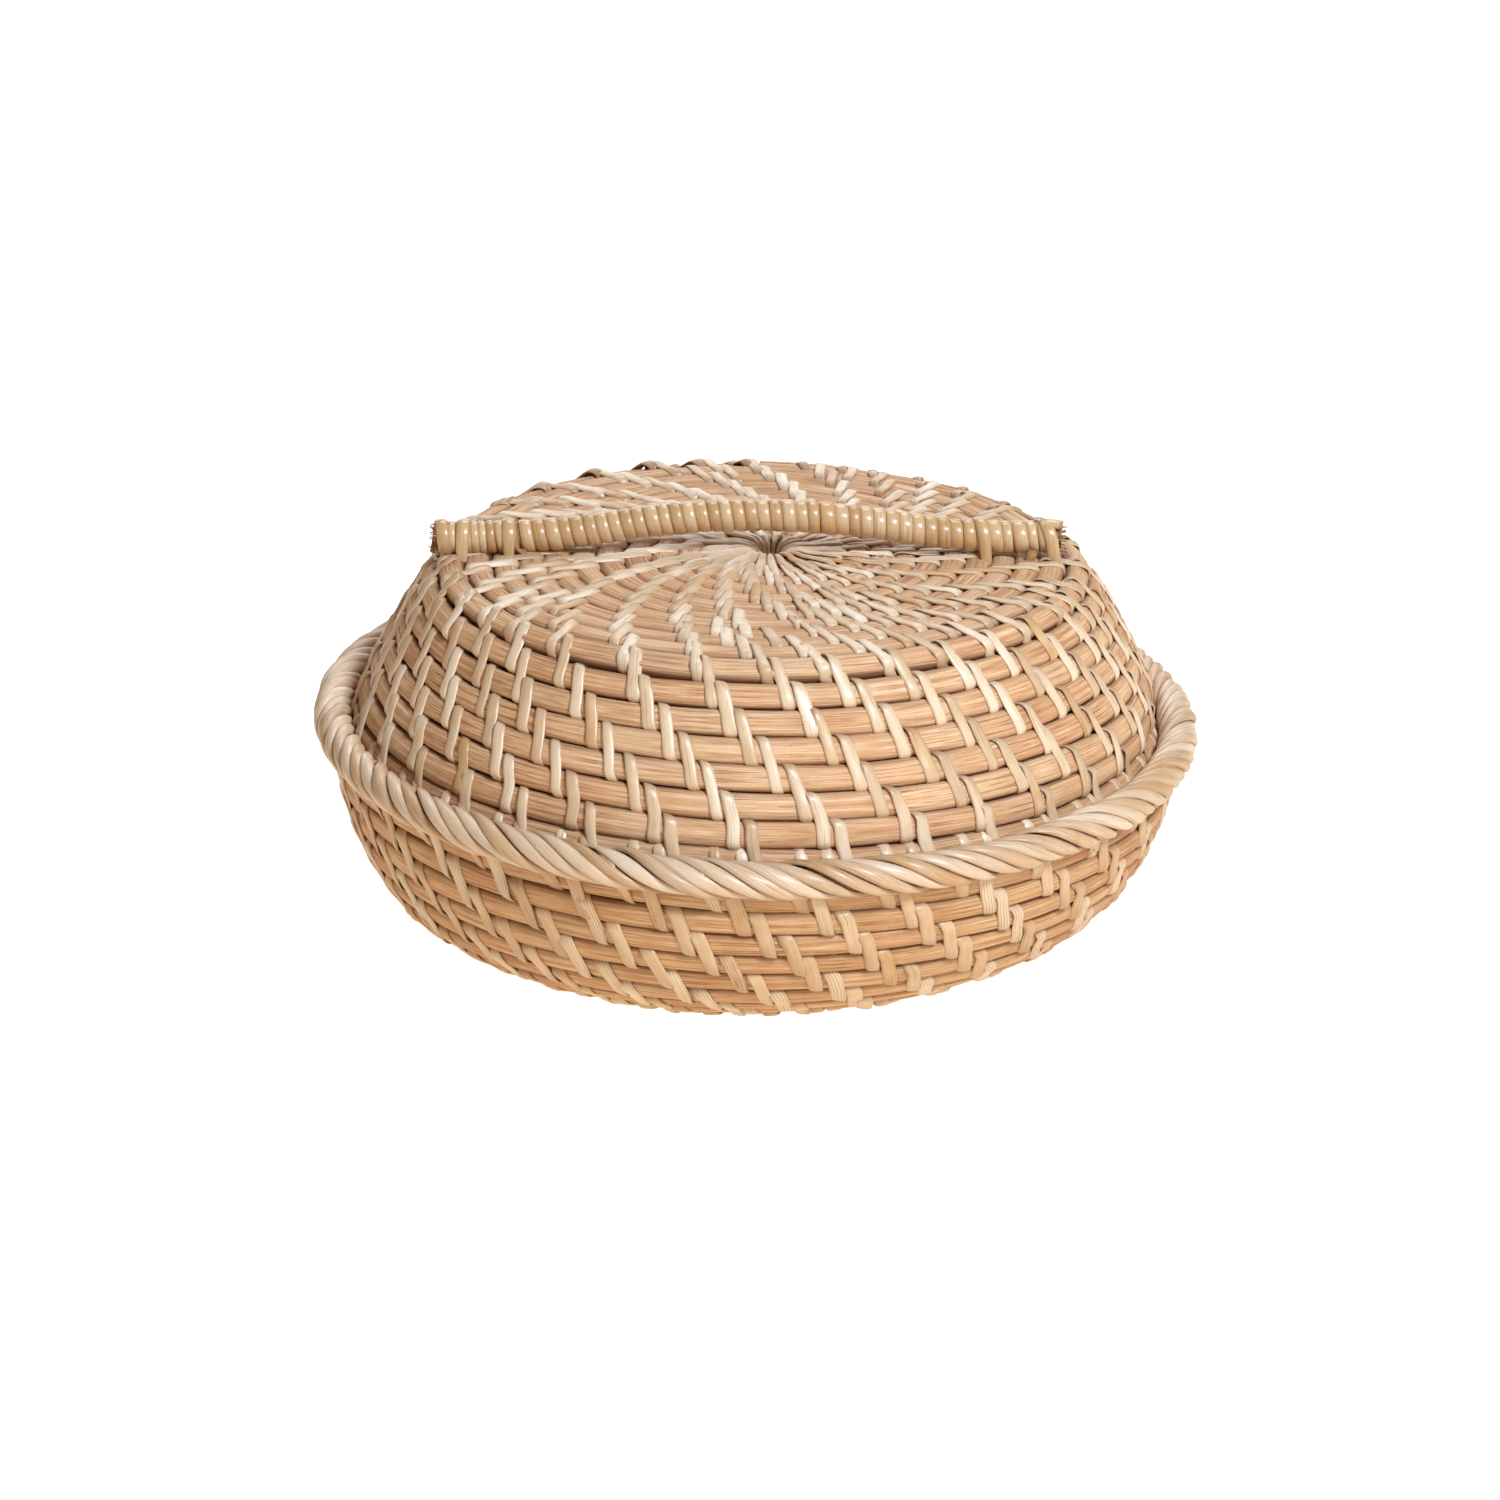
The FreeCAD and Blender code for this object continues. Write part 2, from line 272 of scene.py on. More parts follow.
# --------------------------------------------------------------------- cores
def core_mesh(coil, u0, u1, step_deg=2.4, sides=16):
    acc = Acc()
    n = int(math.ceil((u1 - u0) * 360 / step_deg))
    # the tone drifts slowly along the core, standing in for spliced lengths
    phi = np.linspace(u0, u1, n + 1) * TAU
    p = coil.row(phi)
    r, z = coil.centre(p, phi)
    dr = np.interp(p, coil.q, coil.T[:, 0])
    dz = np.interp(p, coil.q, coil.T[:, 1])
    rad = coil.core_r(phi)
    tip = np.clip((phi - phi[0]) / 1.2, 0, 1)
    rad = rad * (0.35 + 0.65 * tip)
    a = np.arange(sides) / sides * TAU
    ca, sa = np.cos(a), np.sin(a)
    s = 1 if coil.out_left else -1
    nr, nz = -dz * s, dr * s
    # slightly lobed section, as a round core is never quite round
    lob = 1 + 0.022 * np.sin(3 * a[None] + 1.3 * phi[:, None]) + 0.018 * np.sin(5 * a[None] - 2.1 * phi[:, None])
    wob = 1 + 0.018 * np.sin(11.3 * phi + 1.0) + 0.012 * np.sin(23.7 * phi + 0.3)
    R = rad[:, None] * lob * wob[:, None]
    cn = squeeze(ca)
    st = squeeze(sa) * CORE_H / CORE_R
    vr = r[:, None] + R * (cn[None] * nr[:, None] + st[None] * dr[:, None])
    vz = z[:, None] + R * (cn[None] * nz[:, None] + st[None] * dz[:, None])
    V = coil.place(vr, vz, np.broadcast_to(phi[:, None], vr.shape))[None]
    L = np.concatenate([[0], np.cumsum(np.abs(np.diff(phi)) * 0.5 * (r[1:] + r[:-1]))])
    UV = np.zeros(V.shape[:3] + (2,))
    UV[..., 0] = L[None, :, None]
    UV[..., 1] = (np.abs(a - math.pi) * CORE_R)[None, None]
    A = np.zeros(V.shape[:3] + (4,))
    A[..., 0] = 0.5 + 0.5 * np.sin(phi * 0.73 + 1.1)[None, :, None]
    A[..., 1] = 0.5 + 0.5 * np.sin(phi * 1.91)[None, :, None]
    # painted shade: the core darker at top and bottom, in the grooves against the next turns
    A[..., 2] = (np.abs(sa) ** 7)[None, None]
    A[..., 3] = 1
    acc.grid(V, UV, A)
    return acc


# ------------------------------------------------------------------ stitches
LID_LAW = ((24, 37, 55, 68, 79, 99, 108, 116, 125), (3.8, 3.9, 4.2, 4.8, 5.5, 6.1, 6.8, 7.3, 7.5),
           (0, 42, 53, 60, 79, 99, 125), (22, 22, 25, 27, 30.5, 33.6, 34.4))
BASE_LAW = ((24, 37, 55, 68, 90, 110, 122, 131), (3.8, 3.9, 4.2, 4.8, 5.6, 6.7, 7.3, 7.9),
            (0, 42, 60, 90, 110, 131), (22, 22, 27, 32, 34.5, 35.4))
lid.law, base.law = LID_LAW, BASE_LAW


def radius_at(coil, phi):
    return np.interp(coil.row(phi), coil.q, coil.C[:, 0])


def drift_mm(coil, r):
    """How far each row's stitches stand beside those of the row before."""
    return np.interp(r, coil.law[0], coil.law[1])


def count_at(coil, r):
    return np.interp(r, coil.law[2], coil.law[3])


def stitch_angles(coil, u_first, u_last, n_first=22):
    """Stitch angles along the spiral. Each stitch stands beside one of the turn
    before; where the rows open out an extra one is put in."""
    out = [u_first * TAU + k * TAU / n_first for k in range(n_first)]
    m, since = 0, 9
    while out[-1] < u_last * TAU:
        r = float(radius_at(coil, np.array([out[-1]]))[0])
        d = float(drift_mm(coil, r)) / r
        g = (TAU + d) / float(count_at(coil, r))
        # each new one also slides a little towards the middle of its neighbours
        left = out[m - 1] if m else out[m] - g
        even = 0.27 * (out[m + 1] - 2 * out[m] + left)
        old = out[m] + TAU
        x = old + min(max(d + even, max(3.65, 0.70 * d * r) / r), 1.42 * d)
        gap = x - out[-1]
        want = float(count_at(coil, r)) - (len(out) - m)
        since += 1
        if want > 0.6 and gap > 1.08 * g and since > 4:
            out.append(out[-1] + 0.5 * gap)
            since = 0
        else:
            out.append(x)
            m += 1
    return np.array(out), n_first


def stitch_paths(coil, phi, new=None):
    """Closed loops over two neighbouring turns; returns P, N of (M, K, 3)."""
    s = 1 if coil.out_left else -1
    M = len(phi)
    gap_phi = np.diff(phi, append=2 * phi[-1] - phi[-2])
    phi = phi + rng.normal(0, 0.006, M)
    rmid = radius_at(coil, phi)
    drift = drift_mm(coil, rmid)
    lean = np.maximum(drift * 1.02 - 1.2, 1.5) + rng.normal(0, 0.3, M)
    gap = gap_phi * rmid
    qa, qb, qc = 6, 5, 12
    ang, seg = [], []
    # along the loop: which circle (0 old, 1 new), angle from the outer normal
    # towards the new turn, or a bridge between the circles
    for k in range(qa):
        ang.append(-90 + 90 * k / (qa - 1)); seg.append(0.0)
    for k in range(1, qb):
        ang.append(0); seg.append(k / qb)
    for k in range(qc + 1):
        ang.append(180 * k / qc); seg.append(1.0)
    for k in range(1, qb):
        ang.append(180); seg.append(1 - k / qb)
    for k in range(qa):
        ang.append(180 + 90 * k / (qa - 1)); seg.append(0.0)
    ang, seg = np.radians(np.array(ang)), np.array(seg)
    K = len(ang)
    # sideways shift along the loop, in mm
    half = qa - 1 + qb + qc // 2
    side = np.zeros((M, K))
    t1 = np.arange(half + 1) / half
    ease = 1 - (1 - t1) ** 1.7 if coil.out_left else 0.8 * t1 + 0.2 * t1 ** 1.7
    side[:, :half + 1] = lean[:, None] * (ease - 0.5)[None]
    t2 = np.arange(1, K - half) / (K - 1 - half)
    side[:, half + 1:] = lean[:, None] * 0.5 + (gap - lean)[:, None] * t2[None]
    psi = phi[:, None] + side / rmid[:, None]
    rB, zB = coil.centre(coil.row(psi), psi)
    rA, zA = coil.centre(coil.row(psi - TAU), psi - TAU)
    radA = coil.core_r(psi - TAU)
    radB = coil.core_r(psi)
    if new is not None:
        rB, zB, radB = new[0] + 0 * rB, new[1] + 0 * zB, new[2] + 0 * zB
    tr, tz = rB - rA, zB - zA
    L = np.hypot(tr, tz)
    tr, tz = tr / L, tz / L
    nr, nz = -tz * s, tr * s
    c, q = np.cos(ang)[None], np.sin(ang)[None]
    ce, qe = squeeze(c), squeeze(q) * CORE_H / CORE_R
    vr, vz = ce * nr + qe * tr, ce * nz + qe * tz
    g = seg[None]
    rad = radA * (1 - g) + radB * g
    # a bridging strip sags a little into the groove
    sag = 1 - 0.05 * np.sin(np.pi * g) * (np.abs(q) < 0.02)
    cr = rA * (1 - g) + rB * g
    cz = zA * (1 - g) + zB * g
    P = coil.place(cr + vr * rad * sag, cz + vz * rad * sag, psi)
    N = coil.vec(c * nr + q * tr, c * nz + q * tz, psi)
    # pulled down into the hole beside the last stitch, the strip comes up
    # narrow and turned on edge, then lies flat
    full = np.concatenate([t1, np.ones(K - half - 1)])
    twist = (1 - smooth(0.12, 0.62, full)) * (1 - 0.0 * full)
    tail = np.concatenate([smooth(0.80, 1.0, t1), np.ones(K - half - 1)])
    flat = 1 - smooth(-4.5, -0.6, coil.row(phi))
    roll = np.radians(11 + 20 * flat + rng.normal(0, 4.5, M))[:, None] * twist[None] * (1 if coil.out_left else 0.8)
    wid = (1 - (0.20 + 0.22 * flat)[:, None] * (1 - smooth(0.05, 0.36, full))[None]) * (1 - 0.08 * tail)[None]
    # painted shade where the strip dips into the groove and where it comes up out of the hole
    painted_shade = np.clip(np.abs(q) ** 4 * 0.6 + 0.4 * (1 - smooth(0.1, 0.5, full))[None], 0, 1) * np.ones((M, 1))
    return P, N, painted_shade, roll, wid


def stitches(coil, phi, **kw):
    P, N, painted_shade, roll, wid = stitch_paths(coil, phi, **kw)
    M = len(phi)
    acc = Acc()
    full_w = STRIP_W if coil.out_left else STRIP_W * (1 + 0.17 * smooth(-1, 3, coil.row(phi)))[:, None]
    w = full_w * (1 + rng.normal(0, 0.06, M))[:, None] * wid
    th = STRIP_T * (1 + rng.normal(0, 0.10, M))[:, None] * np.ones((1, P.shape[1]))
    ribbon(acc, P, N, w, th, tones(M), painted_shade=painted_shade, roll=TWIST * roll, lift=0.04)
    return acc


TWIST = 1.0


def rays(coil, phi):
    """The rosette: strips from the centre hole over the first turns."""
    M = len(phi)
    s = 1 if coil.out_left else -1
    z0 = coil.C[0, 1]
    acc = Acc()
    r_end, _ = coil.centre(coil.row(phi), phi)
    rr = CORE_R
    paths, normals, widths, rolls, painted_shades = [], [], [], [], []
    for side in (1, -1):
        for m in range(M):
            re = r_end[m] + rng.normal(0, 0.4)
            hole = 4.9 + rng.uniform(-0.3, 0.3)
            turn = hole + 2.6 + rng.uniform(-0.3, 0.4)
            pts = []
            for a in np.linspace(0, 90, 9):            # up out of the hole
                pts.append((turn - (turn - hole) * math.cos(math.radians(a)),
                            0.8 + (rr - 0.8) * math.sin(math.radians(a)),
                            180 - a))
            for k in range(1, 14):
                f = k / 14
                x = turn + (re - turn) * f
                dome = 0.45 if coil.out_left or side < 0 else 0.08
                pts.append((x, rr + dome * (1 - f) * math.sin(math.pi * min(1, 2.4 * f)) + 0.05 * math.sin(f * 21 + m), 90))
            for a in np.linspace(90, 0, 6):
                ar = math.radians(a)
                pts.append((re + rr * math.cos(ar) ** SQ * CORE_H / CORE_R, rr * math.sin(ar) ** SQ, a))
            for k in (1, 2, 3):
                ar = math.radians(20 * k)
                pts.append((re + rr * math.cos(ar), -rr * math.sin(ar), -20 * k))
            pts = np.array(pts)
            rad = pts[:, 0]
            sweep = (0.13 * (1 - np.clip((rad - 4) / 22, 0, 1)) ** 2 + rng.normal(0, 0.03)) * (1 if side > 0 else -1)
            bend = 0.05 * np.sin(np.clip((rad - 6) / 20, 0, 1) * math.pi) * rng.normal(0, 1)
            psi = phi[m] - sweep + bend
            an = np.radians(pts[:, 2])
            nr, nz = np.cos(an), np.sin(an) * side * s
            paths.append(coil.place(rad, z0 + pts[:, 1] * side * s, psi))
            normals.append(coil.vec(nr, nz, psi))
            widths.append(np.clip(TAU * rad / M * 0.92, 1.25, 3.4) * (1 + rng.normal(0, 0.05)))
            rolls.append(np.radians(np.interp(rad, (4, 7, 13, 20), (8, 14, 10, 4)) + rng.normal(0, 4)) * (1 if side > 0 else -1))
            # painted shade down in the centre hole and under the coil, with a stronger painted edge shade
            painted_shades.append(np.where(pts[:, 2] > 91, 1 - smooth(1.2, 3.5, pts[:, 1]), 0.0) + 0.6 * (pts[:, 2] < 0))
    P, N, W = np.array(paths), np.array(normals), np.array(widths)
    n = len(P)
    lev = rng.uniform(0, 0.45, n)[:, None] * np.clip((STRIP_W - W) / 1.3, 0, 1)
    if not coil.out_left:                     # the underside lies on the table
        lev[:M] *= 0.1
    P = P + N * lev[..., None]
    ribbon(acc, P, N, W, STRIP_T * (1.35 if coil.out_left else 1.1), tones(n), lift=0.10, roll=TWIST * np.array(rolls) * s, sect=ROUND,
           painted_shade=np.clip(np.array(painted_shades), 0, 1) * 0.9, edge=1.3)
    return acc


def loops(coil, phi, width, thick, lean=0.6, rad_add=0.0):
    """Short wraps around the coil's last turn only."""
    M = len(phi)
    K = 22
    s = 1 if coil.out_left else -1
    a = np.linspace(0, 1, K)[None] * TAU * np.ones((M, 1)) + math.pi * 1.15
    rmid, _ = coil.centre(coil.row(phi), phi)
    psi = phi[:, None] + (np.linspace(-0.5, 0.5, K)[None] * lean) / rmid[:, None]
    r, z = coil.centre(coil.row(psi), psi)
    p = coil.row(psi)
    dr = np.interp(p, coil.q, coil.T[:, 0])
    dz = np.interp(p, coil.q, coil.T[:, 1])
    nr, nz = -dz * s, dr * s
    vr = np.cos(a) * nr + np.sin(a) * dr
    vz = np.cos(a) * nz + np.sin(a) * dz
    R = coil.core_r(psi) + rad_add
    P = coil.place(r + vr * R, z + vz * R, psi)
    N = coil.vec(vr, vz, psi)
    acc = Acc()
    w = width * (1 + rng.normal(0, 0.06, M))[:, None] * np.ones((1, K))
    ribbon(acc, P, N, w, thick, tones(M), painted_shade=np.zeros((M, K)))
    return acc


# ----------------------------------------------------------------- materials
def nodes_of(mat):
    mat.use_nodes = True
    nt = mat.node_tree
    nt.nodes.clear()
    out = nt.nodes.new("ShaderNodeOutputMaterial")
    bs = nt.nodes.new("ShaderNodeBsdfPrincipled")
    nt.links.new(bs.outputs[0], out.inputs[0])
    return nt, bs


def srgb(r, g, b):
    def f(c):
        c /= 255.0
        return c / 12.92 if c <= 0.04045 else ((c + 0.055) / 1.055) ** 2.4
    return (f(r), f(g), f(b), 1.0)


class G:
    """Small helper to wire nodes."""

    def __init__(self, nt):
        self.nt = nt

    def n(self, kind, **props):
        x = self.nt.nodes.new(kind)
        for k, v in props.items():
            setattr(x, k, v)
        return x

    def put(self, sock, val):
        if isinstance(val, bpy.types.NodeSocket):
            self.nt.links.new(val, sock)
        elif val is not None:
            sock.default_value = val

    def math(self, op, a, b=None, c=None, clamp=False):
        x = self.n("ShaderNodeMath", operation=op, use_clamp=clamp)
        self.put(x.inputs[0], a)
        if b is not None:
            self.put(x.inputs[1], b)
        if c is not None:
            self.put(x.inputs[2], c)
        return x.outputs[0]

    def comb(self, x, y, z=0.0):
        c = self.n("ShaderNodeCombineXYZ")
        self.put(c.inputs[0], x)
        self.put(c.inputs[1], y)
        self.put(c.inputs[2], z)
        return c.outputs[0]

    def noise(self, vec, scale=1.0, detail=3.0, rough=0.5, dist=0.0):
        x = self.n("ShaderNodeTexNoise")
        self.put(x.inputs["Vector"], vec)
        x.inputs["Scale"].default_value = scale
        x.inputs["Detail"].default_value = detail
        x.inputs["Roughness"].default_value = rough
        x.inputs["Distortion"].default_value = dist
        return x.outputs[0]

    def ramp(self, fac, stops):
        x = self.n("ShaderNodeValToRGB")
        el = x.color_ramp.elements
        while len(el) > 1:
            el.remove(el[0])
        el[0].position, el[0].color = stops[0]
        for p, c in stops[1:]:
            e = el.new(p)
            e.color = c
        self.put(x.inputs[0], fac)
        return x.outputs[0]

    def mix(self, fac, a, b, mode="MIX"):
        x = self.n("ShaderNodeMix", data_type="RGBA", blend_type=mode)
        self.put(x.inputs[0], fac)
        self.put(x.inputs[6], a)
        self.put(x.inputs[7], b)
        return x.outputs[2]

    def map(self, v, a, b, c=0.0, d=1.0):
        x = self.n("ShaderNodeMapRange", clamp=True)
        self.put(x.inputs[0], v)
        for i, k in enumerate((a, b, c, d)):
            x.inputs[i + 1].default_value = k
        return x.outputs[0]

    def bump(self, h, strength, dist, normal=None):
        x = self.n("ShaderNodeBump")
        x.inputs["Strength"].default_value = strength
        x.inputs["Distance"].default_value = dist
        self.put(x.inputs["Height"], h)
        if normal is not None:
            self.put(x.inputs["Normal"], normal)
        return x.outputs[0]


def strand_inputs(g):
    uv = g.n("ShaderNodeUVMap", uv_map="strand")
    sep = g.n("ShaderNodeSeparateXYZ")
    g.nt.links.new(uv.outputs[0], sep.inputs[0])
    # the tone attribute holds two random tones and the painted shade
    at = g.n("ShaderNodeAttribute", attribute_name="tone")
    sc = g.n("ShaderNodeSeparateColor")
    g.nt.links.new(at.outputs["Color"], sc.inputs[0])
    return sep.outputs[0], sep.outputs[1], sc.outputs[0], sc.outputs[1], sc.outputs[2]


def make_core(name, dark=0.0, tint=(1, 1, 1), pale=0.0):
    m = bpy.data.materials.new(name)
    nt, bs = nodes_of(m)
    g = G(nt)
    u, v, t0, t1, painted_shade = strand_inputs(g)
    fine = g.noise(g.comb(g.math("MULTIPLY", u, 0.06), g.math("MULTIPLY", v, 3.1), 0.0), 1.0, 4.0, 0.66)
    mid = g.noise(g.comb(g.math("MULTIPLY", u, 0.014), g.math("MULTIPLY", v, 1.2), 3.1), 1.0, 3.0, 0.55)
    patch = g.noise(g.comb(g.math("MULTIPLY", u, 0.022), g.math("MULTIPLY", v, 0.10), 7.7), 1.0, 3.0, 0.6)
    spots = g.noise(g.comb(g.math("MULTIPLY", u, 0.55), g.math("MULTIPLY", v, 1.1), 1.9), 1.0, 3.0, 0.6)
    f = g.math("ADD", g.math("MULTIPLY", fine, 0.55), g.math("MULTIPLY", mid, 0.45))
    col = g.ramp(f, [(0.34, srgb(158, 112, 78)), (0.43, srgb(192, 149, 112)), (0.50, srgb(211, 173, 135)),
                     (0.58, srgb(226, 194, 158)), (0.68, srgb(240, 218, 190))])
    k = pale
    warm = g.ramp(patch, [(0.34, srgb(228 + 9 * k, 186 + 16 * k, 144 + 24 * k)),
                          (0.50, srgb(246 + 5 * k, 222 + 10 * k, 192 + 19 * k)),
                          (0.66, srgb(254, 244 + 5 * k, 230 + 12 * k))])
    col = g.mix(0.62, col, warm, "MULTIPLY")
    # pale streaks along the fibres: the core's grain with a painted sheen on it
    grain_and_sheen = g.map(fine, 0.58, 0.68)
    col = g.mix(g.math("MULTIPLY", grain_and_sheen, 0.5), col, srgb(246, 222, 190))
    seam = g.map(fine, 0.40, 0.32)
    col = g.mix(g.math("MULTIPLY", seam, 0.62), col, srgb(112, 70, 42))
    dots = g.map(spots, 0.68, 0.74)
    col = g.mix(g.math("MULTIPLY", dots, 0.5), col, srgb(110, 66, 38))
    # painted shade: multiplied to dark brown in the grooves and holes
    col = g.mix(g.math("MULTIPLY", painted_shade, 0.85), col, srgb(112, 66, 38), "MULTIPLY")
    col = g.mix(1.0, col, (tint[0], tint[1], tint[2], 1.0), "MULTIPLY")
    if dark:
        col = g.mix(dark, col, srgb(84, 54, 34))
    g.put(bs.inputs["Roughness"], g.map(f, 0.3, 0.7, 0.72, 0.52))
    g.put(bs.inputs["Base Color"], col)
    bs.inputs["Specular IOR Level"].default_value = 0.42
    h = g.math("ADD", g.math("MULTIPLY", fine, 0.7), g.math("MULTIPLY", mid, 0.5))
    g.put(bs.inputs["Normal"], g.bump(h, 1.0, 0.00042))
    return m


def make_cane(name, lo, midc, hi, gloss, warm_odds, speck, coat, tint=(1, 1, 1), split=0.0):
    m = bpy.data.materials.new(name)
    nt, bs = nodes_of(m)
    g = G(nt)
    u, v, t0, t1, painted_shade = strand_inputs(g)
    seed = g.math("MULTIPLY", t0, 37.0)
    fine = g.noise(g.comb(g.math("MULTIPLY", u, 0.05), g.math("MULTIPLY", v, 2.6), seed), 1.0, 3.0, 0.62)
    cross = g.noise(g.comb(g.math("MULTIPLY", u, 3.4), g.math("MULTIPLY", v, 0.7), seed), 1.0, 2.0, 0.5)
    patch = g.noise(g.comb(g.math("MULTIPLY", u, 0.10), g.math("MULTIPLY", v, 0.22), seed), 1.0, 3.0, 0.6)
    spots = g.noise(g.comb(g.math("MULTIPLY", u, 1.2), g.math("MULTIPLY", v, 1.6), seed), 1.0, 3.0, 0.65)
    f = g.math("ADD", g.math("ADD", g.math("MULTIPLY", fine, 0.34), g.math("MULTIPLY", patch, 0.36)),
               g.math("MULTIPLY", t0, 0.30))
    col = g.ramp(f, [(0.28, lo), (0.50, midc), (0.74, hi)])
    odd = g.map(t1, warm_odds[0], warm_odds[1])
    col = g.mix(g.math("MULTIPLY", odd, g.map(patch, 0.35, 0.62, 0.25, 0.85)), col, srgb(196, 148, 92))
    dots = g.map(spots, 0.66, 0.74)
    col = g.mix(g.math("MULTIPLY", dots, speck), col, srgb(122, 78, 44))
    line = g.map(fine, 0.40, 0.30)
    col = g.mix(g.math("MULTIPLY", line, g.map(t1, 0.35, 0.95, 0.15, 0.85)), col, srgb(122, 78, 46))
    # painted shade: darker where the strip goes into a groove or under a neighbour, and along its edges
    col = g.mix(g.math("MULTIPLY", painted_shade, 0.6), col, srgb(150, 98, 58), "MULTIPLY")
    # lengthwise splits in some of the strips
    wander = g.noise(g.comb(g.math("MULTIPLY", u, 0.16), seed, 4.0), 1.0, 1.0, 0.5)
    wave = g.math("SINE", g.math("ADD", g.math("MULTIPLY", v, 6.4), g.math("MULTIPLY", wander, 5.0)))
    cut = g.math("MULTIPLY", g.map(wave, 0.80, 0.98), g.map(g.math("ADD", t0, g.math("MULTIPLY", wander, 0.4)), 0.72, 0.86))
    cut = g.math("MULTIPLY", cut, split)
    col = g.mix(g.math("MULTIPLY", cut, 0.75), col, srgb(132, 86, 50))
    col = g.mix(1.0, col, (tint[0], tint[1], tint[2], 1.0), "MULTIPLY")
    g.put(bs.inputs["Base Color"], col)
    g.put(bs.inputs["Roughness"], g.math("ADD", g.map(f, 0.3, 0.75, gloss + 0.12, gloss), g.math("MULTIPLY", dots, 0.2)))
    bs.inputs["Specular IOR Level"].default_value = 0.5
    bs.inputs["Coat Weight"].default_value = coat
    bs.inputs["Coat Roughness"].default_value = 0.20
    h = g.math("ADD", g.math("MULTIPLY", fine, 0.6), g.math("MULTIPLY", cross, 0.22))
    h = g.math("SUBTRACT", h, g.math("MULTIPLY", cut, 0.9))
    g.put(bs.inputs["Normal"], g.bump(h, 0.6, 0.00016))
    return m


MAT_CORE = make_core("rattan_core", pale=1.0)
MAT_CORE_BASE = make_core("rattan_core_base", tint=(0.89, 0.86, 0.79))
MAT_CORE_DARK = make_core("rattan_core_dark", 0.45)
MAT_STRIP = make_cane("cane_strip", srgb(190, 156, 118), srgb(219, 192, 158), srgb(238, 221, 198), 0.32,
                      (0.80, 0.95), 0.6, 0.18)
MAT_STRIP_BASE = make_cane("cane_strip_base", srgb(190, 152, 110), srgb(217, 188, 150), srgb(236, 217, 189), 0.36,
                           (0.76, 0.95), 0.6, 0.12, tint=(0.93, 0.88, 0.83), split=1.0)
MAT_RIM = make_cane("cane_rim", srgb(192, 157, 120), srgb(219, 192, 160), srgb(236, 217, 192), 0.34,
                    (0.68, 0.95), 0.6, 0.15, split=0.35, tint=(0.94, 0.93, 0.93))
MAT_HANDLE = make_cane("cane_handle", srgb(176, 134, 86), srgb(199, 163, 118), srgb(218, 190, 152), 0.26,
                       (0.86, 0.98), 0.5, 0.40)

# -------------------------------------------------------------- base and rim
base_floor_nodes = ["base_floor_coil"] + ["base_coil_%02d" % i for i in (1, 2)]
base_wall_nodes = ["base_coil_%02d" % i for i in range(3, 11)]
core_mesh(base, -9.62, 1.0).build("base_core_floor", warp_base, MAT_CORE_BASE, "base", base_floor_nodes, slot="rattan_core")
core_mesh(base, 1.0, 10.58).build("base_core_wall", warp_base, MAT_CORE_BASE, "base", base_wall_nodes, slot="rattan_core")

U_ROS_B = -6.9
allphi, n_rays = stitch_angles(base, U_ROS_B - 1.0, 11.6)
ray_phi, phi = allphi[:n_rays], allphi[n_rays:]
tie_phi = phi[(phi > 10.50 * TAU) & (phi < 11.50 * TAU - 0.10)]
phi = phi[phi <= 10.50 * TAU]
rays(base, ray_phi).build("base_rosette_rays", warp_base, MAT_STRIP_BASE, "base", ["base_rosette"], slot="cane_strip")
cut = np.searchsorted(phi, 1.9 * TAU)
stitches(base, phi[:cut]).build("base_stitches_floor", warp_base, MAT_STRIP_BASE, "base",
                                ["base_stitching_floor_inside", "base_stitching_floor_under"], slot="cane_strip")
cut2 = np.searchsorted(phi, 6.0 * TAU)
stitches(base, phi[cut:cut2]).build("base_stitches_wall_low", warp_base, MAT_STRIP_BASE, "base",
                                    ["base_stitching_wall_low_inside", "base_stitching_wall_low_outside"],
                                    slot="cane_strip")
stitches(base, phi[cut2:]).build("base_stitches_wall_high", warp_base, MAT_STRIP_BASE, "base",
                                 ["base_stitching_wall_high_inside", "base_stitching_wall_high_outside"],
                                 slot="cane_strip")
# the last round ties the rim on
gaps = np.diff(tie_phi, append=tie_phi[0] + TAU)
stitches(base, tie_phi, new=(RIM[0] - 0.3, RIM[1] - 0.2, 3.9)).build(
    "rim_ties", warp_base, MAT_STRIP_BASE, "base", [], slot="cane_strip")


